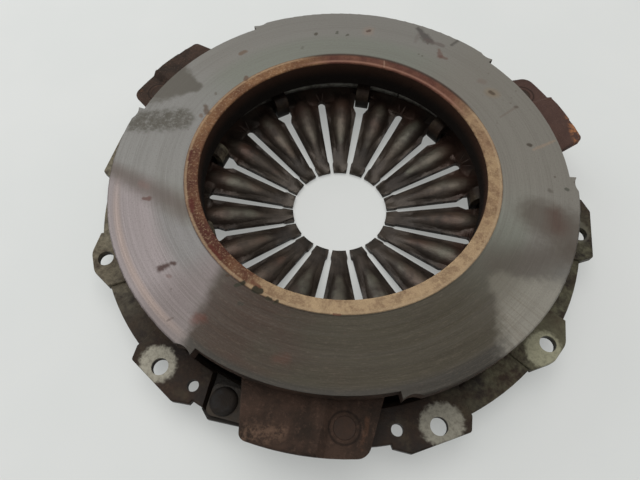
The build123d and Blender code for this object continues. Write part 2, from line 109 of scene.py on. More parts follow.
# %% The Finish class
class Finish:
    """Builds one node material. Its methods return sockets that feed the next call."""

    def __init__(self, name, metallic, roughness):
        self.material = bpy.data.materials.new(name)
        self.material.use_nodes = True
        self.tree = self.material.node_tree
        self.shader = self.tree.nodes["Principled BSDF"]
        self.shader.inputs["Metallic"].default_value = metallic
        self.shader.inputs["Roughness"].default_value = roughness
        self.point = self.node("ShaderNodeTexCoord").outputs["Object"]
        split = self.node("ShaderNodeSeparateXYZ", self.point)
        self.x, self.y, self.z = split.outputs
        self.radius = self.math("SQRT", self.math("ADD", self.square(self.x), self.square(self.y)))
        self.east = self.math("DIVIDE", self.x, self.radius)
        self.north = self.math("DIVIDE", self.y, self.radius)
        self.plan = self.node("ShaderNodeCombineXYZ", self.x, self.y, 0.0).outputs[0]

    def node(self, kind, *inputs):
        made = self.tree.nodes.new(kind)
        for socket, value in zip(made.inputs, inputs):
            self.feed(socket, value)
        return made

    def feed(self, socket, value):
        if isinstance(value, bpy.types.NodeSocket):
            self.tree.links.new(value, socket)
        elif value is not None:
            socket.default_value = value

    def math(self, operation, first, second=None, third=None):
        made = self.node("ShaderNodeMath", first, second, third)
        made.operation = operation
        return made.outputs[0]

    def vector(self, operation, first, second, result="Vector"):
        made = self.node("ShaderNodeVectorMath", first, second)
        made.operation = operation
        return made.outputs[result]

    def square(self, value):
        return self.math("MULTIPLY", value, value)

    def either(self, first, second):
        return self.math("MAXIMUM", first, second)

    def both(self, first, second):
        return self.math("MULTIPLY", first, second)

    def inverse(self, mask):
        return self.math("SUBTRACT", 1.0, mask)

    def ease(self, value, low, high, to_low=0.0, to_high=1.0):
        """Soft step: to_low below low, to_high above high."""
        made = self.node("ShaderNodeMapRange", value, low, high, to_low, to_high)
        made.interpolation_type = "SMOOTHSTEP"
        return made.outputs[0]

    def between(self, value, low, high, soft):
        rise = self.ease(value, low - soft, low + soft)
        fall = self.ease(value, high - soft, high + soft)
        return self.math("SUBTRACT", rise, fall)

    def mix(self, mask, below, above):
        """Colour below, covered by colour above where the mask is 1."""
        made = self.tree.nodes.new("ShaderNodeMix")
        made.data_type = "RGBA"
        for name, value in (("Factor_Float", mask), ("A_Color", below), ("B_Color", above)):
            socket = next(s for s in made.inputs if s.identifier == name)
            colour = (*value, 1.0) if isinstance(value, tuple) else value
            self.feed(socket, colour)
        return next(s for s in made.outputs if s.identifier == "Result_Color")

    def noise(self, scale, detail=4.0, rough=0.55, vector=None, low=0.35, high=0.65):
        """Cloudy noise spread over 0 to 1."""
        made = self.tree.nodes.new("ShaderNodeTexNoise")
        self.feed(made.inputs["Vector"], vector or self.point)
        made.inputs["Scale"].default_value = scale
        made.inputs["Detail"].default_value = detail
        made.inputs["Roughness"].default_value = rough
        return self.ease(made.outputs["Fac"], low, high)

    def specks(self, scale, size, soft=0.08):
        """Round specks, 1 at their centres."""
        made = self.tree.nodes.new("ShaderNodeTexVoronoi")
        self.feed(made.inputs["Vector"], self.point)
        made.inputs["Scale"].default_value = scale
        return self.inverse(self.ease(made.outputs["Distance"], size - soft, size + soft))

    def ring_vector(self, round_axis, across):
        """Coordinates that run round the axis and across the rings, with no seam."""
        made = self.node(
            "ShaderNodeCombineXYZ",
            self.math("MULTIPLY", self.east, round_axis),
            self.math("MULTIPLY", self.north, round_axis),
            self.math("MULTIPLY", self.radius, across),
        )
        return made.outputs[0]

    def sector(self, angle, half, soft, wobble=None):
        """1 within half degrees of a direction, fading over soft degrees."""
        along = self.math("MULTIPLY", self.east, cos(radians(angle)))
        facing = self.math("MULTIPLY_ADD", self.north, sin(radians(angle)), along)
        if wobble:
            facing = self.math("ADD", facing, wobble)
        return self.ease(facing, cos(radians(half + soft)), cos(radians(max(half - soft, 0))))

    def patch(self, centre, half_long, half_wide, turn=0.0, soft=0.25, wobble=None):
        """Ellipse on the plan with a ragged edge, its long side turned by an angle."""
        along = Vector((cos(radians(turn)), sin(radians(turn)), 0))
        away = self.vector("SUBTRACT", self.plan, centre)
        across = Vector((-along.y, along.x, 0))
        long_side = self.vector("DOT_PRODUCT", away, along / half_long, "Value")
        wide_side = self.vector("DOT_PRODUCT", away, across / half_wide, "Value")
        reach = self.math("SQRT", self.math("ADD", self.square(long_side), self.square(wide_side)))
        if wobble:
            reach = self.math("ADD", reach, wobble)
        return self.inverse(self.ease(reach, 1 - soft, 1 + soft))

    def side(self, start, end, soft, wobble=None):
        """1 on the left of a line on the plan, fading over soft metres."""
        along = (end - start).normalized()
        away = self.vector("SUBTRACT", self.plan, start)
        distance = self.vector("DOT_PRODUCT", away, Vector((-along.y, along.x, 0)), "Value")
        if wobble:
            distance = self.math("ADD", distance, wobble)
        return self.ease(distance, -soft, soft)

    def stroke(self, start, end, half_start, half_end, soft=0.3, wobble=None):
        """A rubbed line on the plan whose half width runs from one value to another."""
        along = end - start
        away = self.vector("SUBTRACT", self.plan, start)
        share = self.vector("DOT_PRODUCT", away, along / along.length_squared, "Value")
        share = self.math("MINIMUM", self.either(share, 0.0), 1.0)
        foot = self.node("ShaderNodeVectorMath", along, None, None, share)
        foot.operation = "SCALE"
        offset = self.vector("SUBTRACT", away, foot.outputs[0])
        across = self.vector("LENGTH", offset, None, "Value")
        half = self.math("MULTIPLY_ADD", share, half_end - half_start, half_start)
        reach = self.math("DIVIDE", across, half)
        if wobble:
            reach = self.math("ADD", reach, wobble)
        return self.inverse(self.ease(reach, 1 - soft, 1 + soft))

    def wobble(self, scale, amount, detail=3.0):
        """Signed noise that makes an edge ragged."""
        return self.math("MULTIPLY_ADD", self.noise(scale, detail), 2 * amount, -amount)

    def bump(self, heights, depth):
        """Adds up (height, share) pairs and turns them into bump, depth in metres."""
        total = 0.0
        for height, share in heights:
            total = self.math("MULTIPLY_ADD", height, share, total)
        made = self.tree.nodes.new("ShaderNodeBump")
        made.inputs["Strength"].default_value = 1.0
        made.inputs["Distance"].default_value = depth
        self.feed(made.inputs["Height"], total)
        self.feed(self.shader.inputs["Normal"], made.outputs[0])

    def set(self, **sockets):
        for name, value in sockets.items():
            self.feed(self.shader.inputs[name.replace("_", " ")], value)


def dress(names, finish):
    """Puts one finish on several pieces."""
    for name in names:
        mesh = bpy.data.objects[name].data
        mesh.materials.clear()
        mesh.materials.append(finish.material)
    print(finish.material.name, "on", len(names), "pieces")


# %% [markdown]
# ## The worn friction face
# The ring is grey cast iron, turned flat and then rubbed by the clutch disc for years. Its colours
# come from heat, oil and wear, with painted light over them: grey where it only wore, a lilac tint
# with painted sheen on one side, a salmon line near the edge where the disc barely touched, and a
# brown painted dark reflection over the lower side, with a painted highlight beside it.
# Fine rings from turning and wear run right round. Noise stretched along the ring gives that grain,
# and turning the shader's tangent the same way spreads highlights as on anything turned on a lathe.

# %% Friction face: zones of colour
plate = Finish("worn_cast_iron", metallic=0.2, roughness=0.5)
plate.shader.inputs["Specular IOR Level"].default_value = 0.15


def at(angle, radius_mm):
    """Point on the face at an angle and a radius in millimetres."""
    return polar(radius_mm * MM, angle)


rings_wide = plate.noise(1.0, 5.0, 0.6, plate.ring_vector(0.5, 230))
rings_fine = plate.noise(1.0, 3.0, 0.7, plate.ring_vector(1.6, 1500))
clouds = plate.noise(20, 5.0, 0.6)
grain = plate.noise(900, 4.0, 0.7)
outer_part = plate.ease(plate.radius, 0.096, 0.106)

face = plate.mix(outer_part, tone(116, 117, 108), tone(120, 117, 111))
face = plate.mix(plate.sector(30, 32, 14), face, tone(118, 114, 106))
cool_side = plate.sector(180, 22, 14)
face = plate.mix(cool_side, face, tone(124, 122, 118))
# the lilac bloom is partly a heat tint and partly painted sheen, which makes this side lighter
lilac_and_sheen_edge = plate.side(at(-167.5, 123), at(-149, 87), 0.008, plate.wobble(60, 0.003))
lilac_and_sheen = plate.both(plate.sector(-148, 36, 12), plate.inverse(lilac_and_sheen_edge))
lilac_and_sheen_colour = plate.mix(outer_part, tone(122, 119, 117), tone(139, 130, 129))
lilac_and_sheen_colour = plate.mix(plate.sector(-118, 8, 8), lilac_and_sheen_colour, tone(118, 109, 107))
face = plate.mix(lilac_and_sheen, face, lilac_and_sheen_colour)
salmon = plate.both(plate.sector(-140, 17, 12), plate.between(plate.radius, 0.1180, 0.1212, 0.0012))
face = plate.mix(plate.math("MULTIPLY", salmon, 0.5), face, tone(166, 146, 134))
print("zones of the worn face mixed")

# %% [markdown]
# ## The painted dark reflection
# Over the lower side of the ring a brown, dark reflection of the turned face is painted into the
# colour, with a clear border. It could be painted by hand, but then it would need an unwrapped
# mesh. Here a slanting line gives the border, a sector keeps the dark to its side, and noise along
# the ring breaks it up.

# %% Friction face: the painted dark reflection
# painted dark reflection: the lower side of the turned face is painted dark brown, with a slanting
# border
dark_reflection_edge = plate.side(at(-123.3, 86), at(-115, 121), 0.0036, plate.wobble(140, 0.0009))
dark_reflection = plate.both(plate.sector(-78, 50, 24), dark_reflection_edge)
dark_reflection_colour = plate.mix(clouds, tone(57, 44, 36), tone(56, 52, 41))
dark_reflection_colour = plate.mix(plate.sector(-58, 20, 18), dark_reflection_colour, tone(60, 55, 44))
dark_reflection_colour = plate.mix(plate.ease(plate.radius, 0.1165, 0.1195), dark_reflection_colour, tone(54, 51, 46))
dark_reflection_rings = plate.noise(1.0, 4.0, 0.75, plate.ring_vector(2.5, 800), 0.42, 0.66)
dark_reflection_colour = plate.mix(plate.math("MULTIPLY", dark_reflection_rings, 0.3), dark_reflection_colour, tone(40, 34, 28))
dark_reflection_flecks = plate.noise(1.0, 4.0, 0.8, plate.ring_vector(22, 1500), 0.5, 0.72)
dark_reflection_colour = plate.mix(plate.math("MULTIPLY", dark_reflection_flecks, 0.35), dark_reflection_colour, tone(98, 88, 76))
face = plate.mix(dark_reflection, face, dark_reflection_colour)
# what this print calls oil is the painted dark reflection
print("oil film laid over the lower side")

# %% [markdown]
# ## Stains, pits and painted shade
# Stains have a place, and so does painted light: a line of painted shade along the lilac tint, two
# dull wedges and a dusky streak of painted dark reflection, and a few pits that began to rust. Each
# is a stroke from one point to another, with a half width at both ends. Keeping them in a short
# list makes it easy to move one.

# %% Friction face: stains and painted shade
STAINS_AND_SHADE = (
    # from (angle, radius), to (angle, radius), half widths, softness, colour, strength; in mm
    # the first three strokes are painted light, not stains: a line of shade along the lilac tint,
    # then two dull wedges of dark reflection
    ((-167.5, 125), (-149, 85), (4.0, 6.5), 0.95, (88, 77, 71), 0.75),
    ((160.6, 121), (158, 103.5), (19.0, 4.0), 0.3, (76, 71, 62), 0.78),
    ((-14, 123), (-27, 95), (6.0, 8.0), 0.95, (72, 64, 57), 0.6),
    # from here on, stains and pits
    ((-133.6, 107.6), (-133.2, 104.2), (1.7, 1.4), 0.7, (58, 36, 31), 0.9),
    ((-133.3, 102.2), (-132.8, 101.4), (1.2, 1.1), 0.6, (58, 36, 31), 0.9),
    ((-130.6, 106.8), (-130, 106.2), (1.0, 1.0), 0.6, (105, 85, 80), 0.6),
    ((-156.5, 105.9), (-156.1, 103.2), (1.0, 1.3), 0.5, (88, 62, 56), 0.8),
    ((-161.6, 107), (-160.6, 104.5), (1.8, 1.8), 0.8, (112, 92, 86), 0.5),
    ((-116.5, 110), (-115.4, 108.6), (2.4, 2.0), 0.95, (88, 50, 40), 0.6),
    ((-95, 109.5), (-93, 108), (2.0, 2.0), 0.95, (82, 52, 42), 0.4),
    ((-121.2, 119.5), (-120.8, 117), (0.5, 0.6), 0.5, (95, 84, 80), 0.7),
    ((-110.2, 93.4), (-109.4, 93), (0.9, 0.8), 0.4, (46, 42, 34), 0.85),
    ((3.8, 118.3), (4.0, 117.6), (0.9, 0.9), 0.5, (68, 68, 60), 0.8),
    ((2.6, 109.3), (2.8, 108.8), (1.2, 1.1), 0.6, (82, 76, 68), 0.75),
    ((19.6, 119), (17.2, 105.5), (0.7, 0.8), 0.9, (150, 126, 104), 0.4),
    ((19, 104.4), (19.2, 103.6), (1.3, 1.2), 0.5, (60, 52, 44), 0.85),
    ((33.9, 109.9), (32, 97), (0.9, 0.5), 0.8, (104, 92, 84), 0.5),
    ((33.8, 110), (33.9, 109.2), (1.1, 1.0), 0.5, (82, 72, 64), 0.75),
    ((41.6, 104), (42.4, 103), (3.3, 3.3), 0.6, (126, 108, 86), 0.5),
    ((41.6, 103.6), (42.6, 103.4), (1.4, 1.3), 0.5, (72, 60, 48), 0.85),
    ((47.2, 105.5), (48, 104.6), (2.0, 1.8), 0.8, (108, 92, 84), 0.45),
    ((64, 123), (64.6, 117.5), (1.2, 1.0), 0.7, (76, 72, 68), 0.8),
    ((66.8, 109), (64.6, 103.8), (1.0, 1.7), 0.6, (96, 70, 62), 0.65),
    ((64.6, 103.8), (62.6, 104.6), (1.4, 1.0), 0.6, (92, 66, 58), 0.6),
    ((76.4, 120), (71.4, 112.8), (1.8, 2.9), 0.6, (74, 69, 66), 0.85),
    ((72, 112.4), (66.5, 113.6), (1.8, 1.2), 0.7, (88, 76, 72), 0.6),
    ((75.6, 116), (75, 107.5), (1.2, 1.0), 0.8, (100, 92, 88), 0.45),
    ((91.4, 109), (91.6, 107.6), (3.0, 3.0), 0.8, (142, 120, 104), 0.4),
    ((91.3, 108.5), (91.8, 108), (1.2, 1.0), 0.5, (78, 60, 52), 0.85),
    ((98.5, 103.2), (99, 102.4), (0.8, 0.7), 0.5, (74, 70, 62), 0.8),
    ((102.2, 106), (102.4, 104.6), (0.9, 0.9), 0.5, (72, 72, 62), 0.75),
    ((109.5, 105.3), (109.9, 104.6), (1.1, 1.0), 0.5, (70, 64, 54), 0.85),
    ((115.7, 94.4), (116.2, 93.6), (0.9, 0.8), 0.7, (86, 80, 72), 0.55),
    ((135.6, 105.6), (137.2, 105.2), (1.4, 1.4), 0.6, (98, 78, 62), 0.75),
    ((156.4, 90.3), (156.6, 89.7), (0.9, 0.9), 0.6, (84, 74, 64), 0.6),
)


def stain_and_shade(below, stroke, wobble, mask=None):
    """Colour below with one stroke of the list laid over it."""
    start, end, (half_start, half_end), soft, colour, strength = stroke
    spot = plate.stroke(at(*start), at(*end), half_start * MM, half_end * MM, soft, wobble)
    if mask:
        spot = plate.both(spot, mask)
    return plate.mix(plate.math("MULTIPLY", spot, strength), below, tone(*colour))


LARGE = 3.0
ragged = plate.wobble(240, 0.28)
gentle = plate.wobble(300, 0.08)
for stroke in STAINS_AND_SHADE:
    face = stain_and_shade(face, stroke, gentle if max(stroke[2]) > LARGE else ragged)
oily = plate.noise(380, 5.0, 0.75, low=0.25, high=0.6)
dusk_reflection_end = plate.side(at(0.4, 124), at(0.4, 90), 0.0012)
MASKED_STAINS_AND_SHADE = (
    (((177, 120), (172.4, 98), (7.5, 8.0), 0.35, (72, 68, 59), 0.9), oily),
    # painted dark reflection: a dusky streak that ends on a sharp line; the reddish oval below it
    # is a stain
    (((-9.5, 122), (-6, 103), (13.5, 9.5), 0.6, (78, 70, 62), 0.75), dusk_reflection_end),
    (((-8, 113.5), (-4.5, 111.5), (5.0, 4.0), 0.95, (76, 56, 48), 0.65), dusk_reflection_end),
)
for stroke, mask in MASKED_STAINS_AND_SHADE:
    face = stain_and_shade(face, stroke, gentle, mask)
print("stains:", len(STAINS_AND_SHADE) + len(MASKED_STAINS_AND_SHADE))

# %% [markdown]
# ## Painted highlight, pits and grain
# Beside the dark reflection a pale wedge of painted highlight stands for light that the turned face
# mirrors there. Pits and freckles lie all over the ring. Voronoi cells make round pits, and a
# second noise gathers them in loose groups, because pits spread evenly would look printed.

# %% Friction face: painted highlight wedge, pits and grain
radial_lines = plate.noise(1.0, 3.0, 0.7, plate.ring_vector(110, 10), 0.46, 0.62)
# painted highlight: a pale wedge of light mirrored by the turned face, with radial scratches
# through it
wedge = plate.stroke(at(-32.7, 123), at(-31.8, 102.5), 0.0250, 0.0070, 0.4, gentle)
streaked = plate.both(radial_lines, plate.sector(-38, 6, 4))
painted_highlight = plate.mix(plate.ease(plate.radius, 0.098, 0.118), tone(104, 100, 90), tone(134, 130, 120))
painted_highlight = plate.mix(plate.math("MULTIPLY", streaked, 0.4), painted_highlight, tone(106, 96, 84))
face = plate.mix(plate.math("MULTIPLY", wedge, 0.85), face, painted_highlight)
pits = plate.both(plate.specks(140, 0.09, 0.05), plate.noise(40, 3.0, 0.5, low=0.55, high=0.62))
face = plate.mix(plate.math("MULTIPLY", pits, 0.6), face, tone(70, 58, 50))
freckles = plate.noise(1000, 3.0, 0.85, low=0.52, high=0.66)
face = plate.mix(plate.math("MULTIPLY", freckles, 0.3), face, tone(84, 76, 70))
worn = plate.both(rings_wide, rings_fine)
face = plate.mix(plate.math("MULTIPLY", worn, 0.25), face, tone(96, 91, 84))
print("bright wedge and pits added")

# %% [markdown]
# ## The band that the disc never touched
# Inside the worn ring a narrow band keeps its first rust: dark red on one side, orange brown on
# another and a drier tan between. A thin pale line runs along its border, and the border is chipped
# where scale broke away. On the far side a thin highlight is painted along the inner edge.

# %% Unworn band
band_patches = plate.noise(58, 5.0, 0.65)
band_flakes = plate.noise(190, 5.0, 0.7, low=0.42, high=0.62)
red_side = plate.sector(-146, 34, 8, plate.wobble(35, 0.06))
dark_side = plate.sector(78, 36, 9)
orange_side = plate.sector(146, 34, 8)
band = plate.mix(band_patches, tone(138, 110, 84), tone(160, 134, 102))
band = plate.mix(plate.math("MULTIPLY", plate.sector(-62, 38, 14), 0.75), band, tone(180, 154, 120))
band = plate.mix(red_side, band, plate.mix(band_patches, tone(104, 70, 50), tone(76, 42, 33)))
band = plate.mix(dark_side, band, plate.mix(band_patches, tone(84, 50, 42), tone(112, 76, 60)))
band = plate.mix(orange_side, band, plate.mix(band_patches, tone(108, 74, 50), tone(140, 104, 72)))
band = plate.mix(plate.math("MULTIPLY", band_flakes, 0.42), band, tone(80, 50, 38))
band_specks = plate.noise(700, 4.0, 0.75, low=0.5, high=0.66)
band_specks = plate.both(band_specks, plate.inverse(dark_side))
band = plate.mix(plate.math("MULTIPLY", band_specks, 0.4), band, tone(186, 160, 126))
# painted highlight: a pale line along the inner edge of the band on the far side
inner_highlight_line = plate.both(plate.between(plate.radius, 0.0783, 0.0797, 0.0005), dark_side)
band = plate.mix(plate.math("MULTIPLY", inner_highlight_line, 0.55), band, tone(156, 116, 98))
pale_rim = plate.between(plate.radius, 0.0833, 0.0846, 0.0004)
pale_rim = plate.both(pale_rim, plate.inverse(dark_side))
band = plate.mix(plate.math("MULTIPLY", pale_rim, 0.55), band, tone(172, 148, 118))
BAND_SPOTS = (
    ((-174.5, 83.2), (-170.5, 83.2), (0.9, 0.7), 0.6, (78, 36, 29), 0.8),
    ((-152, 82.4), (-147.5, 82.8), (1.6, 1.2), 0.6, (84, 38, 31), 0.8),
    ((-131.5, 82.6), (-125, 82.4), (0.9, 0.7), 0.6, (84, 40, 32), 0.8),
    ((-111, 81.4), (-108, 82), (1.1, 0.8), 0.7, (88, 44, 34), 0.7),
    ((82.6, 84), (81.6, 78.6), (0.4, 0.5), 0.8, (160, 130, 110), 0.55),
)
for stroke in BAND_SPOTS:
    band = stain_and_shade(band, stroke, ragged)
in_band = plate.inverse(plate.ease(plate.radius, BAND_R - 0.0004, BAND_R + 0.0004))
top = plate.mix(in_band, face, band)
shade_line = plate.both(plate.between(plate.radius, 0.0838, 0.0858, 0.0007), dark_side)
top = plate.mix(plate.math("MULTIPLY", shade_line, 0.8), top, tone(62, 48, 40))
print("band mixed")

# %% [markdown]
# ## Chips along the border
# Where scale broke out of the border it left dark notches. They could be cut in the mesh, but they
# are thinner than paint. So they are strokes like the stains, laid last, over both colours.

# %% Chips along the border of the band
CHIPS = (
    ((-114.6, 87.4), (-113.2, 84.3), (1.0, 1.4), 0.3, (44, 42, 32), 0.95),
    ((-108.6, 83.9), (-106.8, 83.6), (1.5, 1.3), 0.3, (44, 42, 32), 0.95),
    ((-103.8, 85.0), (-102.6, 84.9), (1.0, 0.9), 0.4, (50, 46, 34), 0.9),
    ((-101.2, 86.0), (-100.6, 84.6), (0.6, 0.8), 0.4, (50, 46, 34), 0.9),
    ((-119.2, 86.3), (-118.8, 85.8), (0.7, 0.7), 0.4, (60, 46, 36), 0.85),
    ((-82.4, 84.8), (-80.4, 84.9), (0.6, 0.5), 0.5, (90, 50, 40), 0.7),
    ((142.4, 86.6), (143.6, 85.0), (1.1, 1.3), 0.6, (86, 60, 46), 0.7),
    ((163.4, 89), (166, 85.2), (1.3, 1.7), 0.6, (78, 60, 46), 0.75),
    ((168, 87.6), (168.6, 86.8), (1.1, 1.0), 0.7, (92, 70, 56), 0.6),
)
for stroke in CHIPS:
    top = stain_and_shade(top, stroke, ragged)
print("chips:", len(CHIPS))

# %% [markdown]
# ## The casting under the face
# Below its machined face the plate is rough casting, almost black with old oil. Rust comes through
# as small orange flakes where the lugs were handled. A dark ring sits round the edge of each rivet.

# %% Rough casting
cast_clouds = plate.noise(55, 6.0, 0.65)
flakes = plate.noise(430, 4.0, 0.7, low=0.52, high=0.68)
rust_flakes = plate.noise(330, 5.0, 0.75, low=0.42, high=0.6)
casting = plate.mix(cast_clouds, tone(44, 35, 29), tone(68, 52, 43))
casting = plate.mix(plate.math("MULTIPLY", flakes, 0.35), casting, tone(98, 76, 64))
red_lug = plate.math("MULTIPLY", plate.sector(30, 18, 10), 0.5)
casting = plate.mix(red_lug, casting, tone(92, 68, 62))
RUST = (
    # from (angle, radius), to (angle, radius), half widths, colour, strength; in mm
    ((-96, 141.5), (-90.5, 136), (4.4, 2.8), (126, 100, 82), 0.45),
    ((15.5, 124), (17.5, 140), (2.2, 4.0), (170, 116, 78), 0.9),
    ((17.5, 141), (29, 143.5), (3.4, 2.2), (166, 112, 74), 0.85),
    ((-76, 140), (-74.5, 128), (1.2, 0.9), (110, 76, 56), 0.3),
    ((163, 142), (167, 142.6), (1.4, 1.2), (120, 84, 62), 0.35),
)
for start, end, (half_start, half_end), colour, strength in RUST:
    rusty = plate.stroke(at(*start), at(*end), half_start * MM, half_end * MM, 0.7, ragged)
    rusty = plate.math("MULTIPLY", plate.both(rusty, rust_flakes), strength)
    casting = plate.mix(rusty, casting, tone(*colour))
RIVET_R = 6.8 * MM
for rivet in range(1, 4):
    centre = middle(f"lug_rivet_{rivet}")
    away = plate.vector("LENGTH", plate.vector("SUBTRACT", plate.plan, centre), None, "Value")
    ring = plate.between(away, RIVET_R - 0.0004, RIVET_R + 0.0006, 0.0004)
    casting = plate.mix(plate.math("MULTIPLY", ring, 0.7), casting, tone(28, 21, 17))
# the bore wall is red brown, and painted shade makes it darker towards its bottom
bore_wall = plate.inverse(plate.ease(plate.radius, BORE_R + 0.0003, BORE_R + 0.001))
wall_colour_and_shade = plate.mix(plate.ease(plate.z, 0.016, 0.027), tone(20, 15, 12), tone(62, 42, 32))
casting = plate.mix(bore_wall, casting, wall_colour_and_shade)
print("casting mixed")

# %% [markdown]
# ## Roughness, relief and the turned highlight
# The casting and its machined face are one piece, so height decides which is which. The face is
# smoother and a little metallic. Anisotropy with a tangent that runs round the axis spreads its
# highlight across the turning lines. Without it the ring would shine like a plain disc.

# %% Roughness, grain and the turned highlight
is_top = plate.ease(plate.z, FACE_Z - 0.0009, FACE_Z - 0.0003)
plate.set(Base_Color=plate.mix(is_top, casting, top))
rub = plate.ease(rings_fine, 0.0, 1.0, 0.44, 0.56)
face_rough = plate.math("MULTIPLY_ADD", in_band, 0.2, rub)
rough = plate.math("MULTIPLY_ADD", plate.math("SUBTRACT", face_rough, 0.8), is_top, 0.8)
plate.set(Roughness=rough)
worn_top = plate.both(is_top, plate.inverse(in_band))
cast_part = plate.inverse(worn_top)
BARE_METAL = 0.25
plate.set(Metallic=plate.math("MULTIPLY", worn_top, BARE_METAL))
plate.bump(
    (
        (plate.both(rings_fine, worn_top), 0.06),
        (plate.both(rings_wide, worn_top), 0.06),
        (plate.both(cast_clouds, cast_part), 1.0),
        (plate.both(grain, cast_part), 0.45),
    ),
    depth=0.0004,
)
up = Vector((0, 0, 1))
plate.shader.inputs["Anisotropic"].default_value = 0.45
plate.set(Tangent=plate.vector("CROSS_PRODUCT", up, plate.point))
dress(["pressure_plate"], plate)

# %% [markdown]
# ## The pressed steel cover
# The cover was oiled black sheet. Around the bolts the washers kept it clean, so each hole has a
# pale print with a rough edge. Dust settled thicker on two sides. A print could be a decal, but an
# ellipse on the plan needs no picture and stays sharp at any size.

# %% Cover finish
cover = Finish("oily_pressed_steel", metallic=0.1, roughness=0.5)
cover.shader.inputs["Specular IOR Level"].default_value = 0.12
sheet_clouds = cover.noise(34, 6.0, 0.62)
sheet_patches = cover.noise(85, 5.0, 0.65, low=0.5, high=0.64)
sheet_grain = cover.noise(520, 4.0, 0.7)
sheet = cover.mix(sheet_clouds, tone(27, 20, 16), tone(58, 45, 36))
sheet = cover.mix(cover.math("MULTIPLY", sheet_patches, 0.3), sheet, tone(80, 72, 56))
left_dust = cover.both(cover.sector(-176, 34, 16), cover.noise(120, 5.0, 0.7, low=0.28, high=0.6))
sheet = cover.mix(cover.math("MULTIPLY", left_dust, 0.9), sheet, tone(124, 116, 97))
right_dust = cover.both(cover.sector(-24, 26, 10), cover.noise(120, 5.0, 0.7))
sheet = cover.mix(cover.math("MULTIPLY", right_dust, 0.8), sheet, tone(104, 101, 80))
sheet = cover.mix(cover.math("MULTIPLY", sheet_grain, 0.4), sheet, tone(30, 24, 20))
on_top = cover.ease(cover.z, -0.0014, -0.0004)
PRINTS = (
    # angle, offset along the circle, half length, half width, strength, colour; in mm
    (-120, -1.8, 9.4, 8.6, 1.0, (158, 153, 138)),
    (-60, 1.6, 10.4, 9.4, 0.95, (146, 142, 128)),
    (-30, 3.0, 15.0, 12.0, 0.4, (112, 108, 86)),
    (-30, -4.0, 9.6, 8.4, 0.85, (160, 157, 132)),
    (0, 1.0, 7.0, 6.0, 0.5, (108, 105, 92)),
    (180, 0.0, 6.0, 5.0, 0.25, (104, 100, 88)),
    (60, 0.0, 8.0, 7.5, 0.6, (118, 114, 100)),
    (120, 0.0, 8.0, 7.5, 0.6, (118, 114, 100)),
    (90, 0.0, 7.0, 6.0, 0.5, (108, 104, 92)),
)
print_edge = cover.wobble(460, 0.06)
speckle = cover.noise(520, 5.0, 0.75, low=0.34, high=0.58)
for angle, aside, half_long, half_wide, strength, colour in PRINTS:
    centre = polar(0.1356, angle) + aside * MM * polar(1.0, angle + 90)
    mark = cover.patch(centre, half_long * MM, half_wide * MM, angle + 90, 0.14, print_edge)
    mark = cover.both(mark, cover.math("MULTIPLY_ADD", speckle, 0.4, 0.6))
    mark = cover.math("MULTIPLY", cover.both(mark, on_top), strength)
    sheet = cover.mix(mark, sheet, tone(*colour))
# painted shade: all that lies below the pocket floor is darkened, where the lug and the ring keep
# light out
pocket_shade = cover.inverse(cover.ease(cover.z, -0.0040, -0.0015))
sheet = cover.mix(cover.math("MULTIPLY", pocket_shade, 0.9), sheet, tone(28, 24, 20))
cover.set(Base_Color=sheet)
cover.set(Roughness=cover.ease(sheet_clouds, 0.0, 1.0, 0.45, 0.62))
cover.bump(((sheet_clouds, 0.6), (sheet_patches, 0.2), (sheet_grain, 0.2)), depth=0.0003)
dress(["cover"], cover)

# %% [markdown]
# ## The diaphragm spring
# The real spring flattens when the plate lifts. The solid is copied, its loose triangles are merged
# into one skin, and the copy takes its place. The fingers are dark tempered steel, rubbed along the
# crest of each bulge, where a grey-green highlight is painted as well.

# %% Copy a solid as one smooth skin
SMOOTH_BELOW = radians(28)
WELD = 0.00001


def skin_of(node, name):
    """A merged, smooth copy of a solid that replaces it."""
    bpy.ops.object.select_all(action="DESELECT")
    piece = nodes[node].copy()
    piece.data = nodes[node].data.copy()
    for key in list(piece.keys()):
        del piece[key]
    piece.name = name
    piece.parent = None
    bpy.context.scene.collection.objects.link(piece)
    piece.select_set(True)
    bpy.context.view_layer.objects.active = piece
    bpy.ops.object.mode_set(mode="EDIT")
    bpy.ops.mesh.select_all(action="SELECT")
    bpy.ops.mesh.remove_doubles(threshold=WELD)
    bpy.ops.object.mode_set(mode="OBJECT")
    bpy.ops.object.shade_smooth_by_angle(angle=SMOOTH_BELOW)
    print(name, "has", len(piece.data.polygons), "faces")
    return piece


spring_disc = skin_of("diaphragm_spring", "spring_disc")

# %% [markdown]
# ## The finish of the fingers
# Every finger has a rolled bulge that use has rubbed dull grey, and a grey highlight is painted
# along its crest as well. The turn round the axis, divided into eighteen parts, finds the middle of
# each finger, and a dome is laid there. The bulge is in the mesh already. The dome adds bump on
# top, which makes it read more strongly at no cost.

# %% Spring finish
spring = Finish("rubbed_spring_steel", metallic=0.3, roughness=0.45)
spring.shader.inputs["Specular IOR Level"].default_value = 0.3
turn = spring.math("ARCTAN2", spring.y, spring.x)
turn = spring.math("MULTIPLY_ADD", turn, 180 / pi, 360 - LUG_ANGLE)
within = spring.math("FLOORED_MODULO", turn, FINGER_STEP)
aside = spring.math("ABSOLUTE", spring.math("SUBTRACT", within, FINGER_STEP / 2))
aside = spring.both(aside, spring.math("MULTIPLY", spring.radius, pi / 180))
steel_clouds = spring.noise(60, 5.0, 0.6)
streaks = spring.noise(1.0, 4.0, 0.7, spring.ring_vector(46, 30), 0.4, 0.62)
steel = spring.mix(steel_clouds, tone(42, 35, 30), tone(66, 57, 49))
steel = spring.mix(spring.math("MULTIPLY", streaks, 0.4), steel, tone(27, 22, 18))
red_root = spring.both(spring.ease(spring.radius, 0.060, 0.078), spring.noise(55, 3.0))
